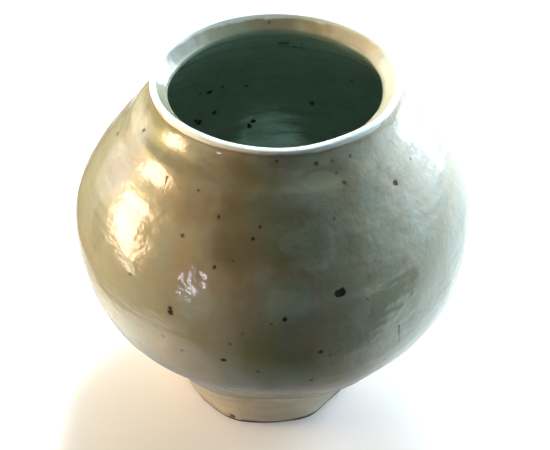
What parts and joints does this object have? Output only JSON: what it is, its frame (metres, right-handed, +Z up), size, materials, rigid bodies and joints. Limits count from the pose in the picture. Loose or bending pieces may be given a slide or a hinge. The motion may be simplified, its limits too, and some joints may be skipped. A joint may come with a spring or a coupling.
{
  "type": "ceramic jar",
  "caption": "Round glazed ceramic jar with a wide everted lip, open mouth and a small conical foot; holds liquids, grain or flowers.",
  "frame": {"origin": "centre of the bounding box's base, on the plane that the foot stands on, under the bowls' axis", "axes": "+Z up along the jar's axis; the foot stands a little towards -X; -Y is the side that the picture shows"},
  "size_m": [0.2, 0.2, 0.1876],
  "materials": {
    "glaze": "glossy grey-green glaze with iron specks",
    "lip_glaze": "glossy, thinner and paler glaze on the lip",
    "bare_clay": "glaze down to the edge, bare brown clay at the contact face",
    "slip_joint": "smeared slip under the glaze"
  },
  "bodies": {
    "root": {"foot_ring": "bare_clay", "foot_lute": "slip_joint", "lower_bowl": "glaze", "belly_lute": "slip_joint", "upper_bowl": "glaze", "neck_lute": "slip_joint", "mouth_ring": "lip_glaze"}
  },
  "joints": []
}
